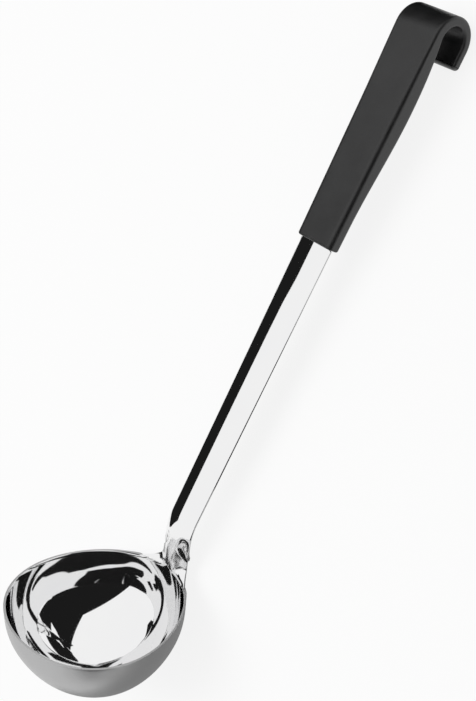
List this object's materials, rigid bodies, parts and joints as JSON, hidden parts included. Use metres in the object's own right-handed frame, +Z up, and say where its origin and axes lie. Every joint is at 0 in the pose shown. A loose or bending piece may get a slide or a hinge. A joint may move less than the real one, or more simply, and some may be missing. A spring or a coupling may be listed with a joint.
{
  "type": "serving ladle",
  "caption": "One-piece pressed steel serving ladle with a round bowl, an arched stem and a black moulded handle that curls into a hanging hook",
  "frame": {"origin": "on the table under the middle of the ladle's box, with the ladle lying on its back on the bowl and the hook", "axes": "+X from the bowl to the hook, +Y across the handle, +Z up off the table"},
  "size_m": [0.32, 0.0762, 0.0711],
  "materials": {
    "polished_steel": "mirror polished inside the bowl and on the stem, satin outside the bowl",
    "black_plastic": "satin moulded, fine grain"
  },
  "bodies": {
    "root": {"bowl_and_stem": "polished_steel", "hook_handle": "black_plastic"}
  },
  "joints": []
}
